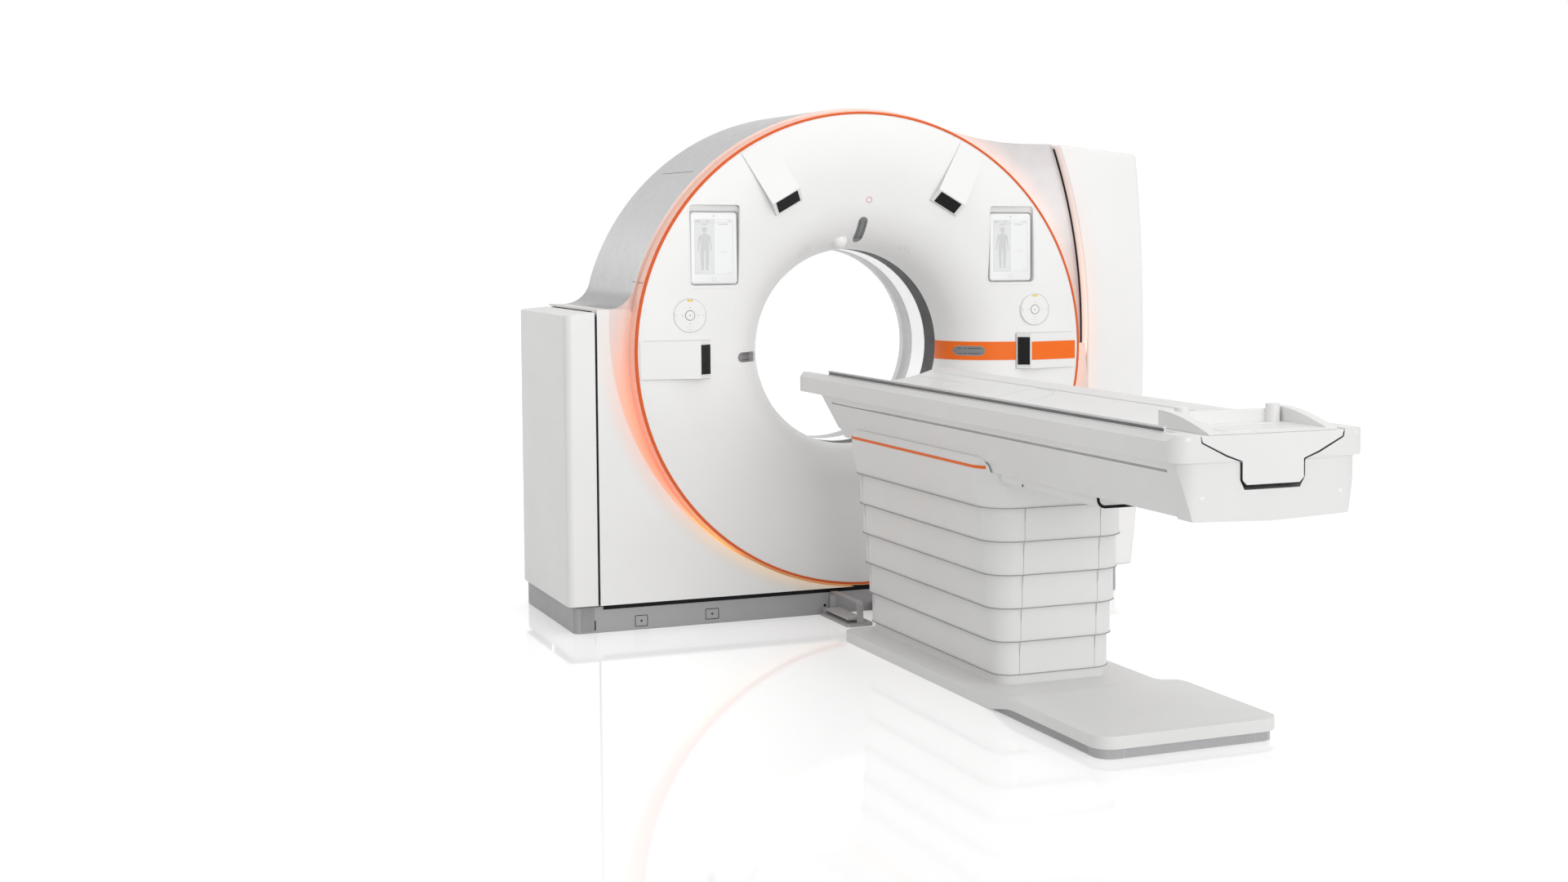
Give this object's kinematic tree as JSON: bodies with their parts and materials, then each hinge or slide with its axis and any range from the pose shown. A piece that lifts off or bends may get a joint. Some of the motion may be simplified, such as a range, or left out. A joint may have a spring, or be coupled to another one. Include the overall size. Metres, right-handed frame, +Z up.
{
  "type": "ct scanner",
  "caption": "Medical CT scanner: ring-shaped gantry with a flared bore, towers and a glowing rim, and a sliding patient table on a telescoping lift stand.",
  "frame": {"origin": "on the floor under the isocentre, where the scan plane meets the bore axis's vertical", "axes": "+Z up, +X across the gantry to the right as seen from the table, +Y from the table into the bore"},
  "size_m": [2.56, 4.01, 2.08],
  "materials": {
    "white_cover": "smooth satin white",
    "silver_cover": "satin silver",
    "grey_base": "fine matt grey",
    "halo": "translucent white",
    "light": "lit orange",
    "orange": "satin orange",
    "dark_window": "smoked",
    "black_window": "gloss black",
    "tablet": "gloss",
    "laser_glass": "smoked",
    "steel_frame": "painted grey",
    "bearing": "ground steel",
    "coil": "copper",
    "dark_block": "matt black",
    "tube_housing": "cast and machined",
    "column": "painted dark grey",
    "rail": "anodised",
    "cradle_top": "satin white",
    "switch_metal": "painted dark grey"
  },
  "bodies": {
    "gantry": {"plinth": "grey_base", "gantry_frame": "steel_frame", "bearing_fixed_ring": "bearing", "motor_coils": "coil", "brush_block": "dark_block", "front_cover": "white_cover", "scan_window": "dark_window", "bore_liner": "white_cover", "rear_cover": "white_cover", "arch_hood": "silver_cover", "left_tower_cover": "white_cover", "right_tower_cover": "white_cover", "left_front_panel": "white_cover", "right_front_panel": "white_cover", "rear_panel": "white_cover", "light_ring": "light", "halo_band": "halo", "upper_pod_left": "white_cover", "upper_pod_right": "white_cover", "side_pod_left": "white_cover", "side_pod_right": "white_cover", "pod_windows": "black_window", "tablet_docks": "white_cover", "tablets": "tablet", "dial_panels": "white_cover", "laser_windows": "laser_glass", "orange_band": "orange", "cable_duct": "grey_base", "table_base": "white_cover", "foot_skirt": "grey_base", "shell_5": "white_cover", "column_outer": "column", "foot_switch": "switch_metal"},
    "rotor": {"rotor_frame": "steel_frame", "bearing_rotor_ring": "bearing", "slip_ring": "coil", "xray_tube": "tube_housing", "collimator": "dark_block", "detector": "tube_housing", "generator": "tube_housing", "cooling_unit": "tube_housing"},
    "lift": {"column_inner": "column", "lift_head": "white_cover", "head_strip": "orange", "belly_cover": "white_cover", "table_frame": "white_cover", "end_cap": "white_cover", "side_rails": "rail", "guide_rails": "bearing", "feed_drive": "dark_block"},
    "sleeve_1": {"shell_1": "white_cover"},
    "sleeve_2": {"shell_2": "white_cover"},
    "sleeve_3": {"shell_3": "white_cover"},
    "sleeve_4": {"shell_4": "white_cover"},
    "middle_stage": {"column_middle": "column"},
    "sliding_top": {"cradle": "cradle_top", "foot_tray": "white_cover"},
    "button_left": {"dial_button_left": "white_cover"},
    "button_right": {"dial_button_right": "white_cover"},
    "pedal": {"switch_pedal": "white_cover"}
  },
  "joints": [
    {"name": "rotor_spin", "type": "hinge", "parent": "gantry", "child": "rotor", "pos_m": [0, 0, 1.09], "axis": [0, 1, 0], "continuous": true},
    {"name": "table_lift", "type": "slide", "parent": "gantry", "child": "lift", "axis": [0, 0, 1], "range_m": [-0.44, 0]},
    {"name": "sleeve_1_slide", "type": "slide", "parent": "gantry", "child": "sleeve_1", "axis": [0, 0, 1], "range_m": [-0.354, 0.002]},
    {"name": "sleeve_2_slide", "type": "slide", "parent": "gantry", "child": "sleeve_2", "axis": [0, 0, 1], "range_m": [-0.266, 0.002]},
    {"name": "sleeve_3_slide", "type": "slide", "parent": "gantry", "child": "sleeve_3", "axis": [0, 0, 1], "range_m": [-0.178, 0.002]},
    {"name": "sleeve_4_slide", "type": "slide", "parent": "gantry", "child": "sleeve_4", "axis": [0, 0, 1], "range_m": [-0.09, 0.002]},
    {"name": "middle_stage_slide", "type": "slide", "parent": "gantry", "child": "middle_stage", "axis": [0, 0, 1], "range_m": [-0.222, 0.002]},
    {"name": "cradle_slide", "type": "slide", "parent": "lift", "child": "sliding_top", "axis": [0, 1, 0], "range_m": [0, 1.6]},
    {"name": "button_left_press", "type": "slide", "parent": "gantry", "child": "button_left", "axis": [0, 1, 0], "range_m": [0, 0.0025], "stiffness_N_per_m": 800},
    {"name": "button_right_press", "type": "slide", "parent": "gantry", "child": "button_right", "axis": [0, 1, 0], "range_m": [0, 0.0025], "stiffness_N_per_m": 800},
    {"name": "pedal_press", "type": "hinge", "parent": "gantry", "child": "pedal", "pos_m": [-0.2, -0.326, 0.027], "axis": [1, 0, 0], "range_deg": [0, 1.8], "stiffness_Nm_per_rad": 200, "springref_deg": -2.86}
  ],
  "couplings": [
    {"joint": "sleeve_1_slide", "follows": "table_lift", "ratio": 0.8},
    {"joint": "sleeve_2_slide", "follows": "table_lift", "ratio": 0.6},
    {"joint": "sleeve_3_slide", "follows": "table_lift", "ratio": 0.4},
    {"joint": "sleeve_4_slide", "follows": "table_lift", "ratio": 0.2},
    {"joint": "middle_stage_slide", "follows": "table_lift", "ratio": 0.5}
  ]
}
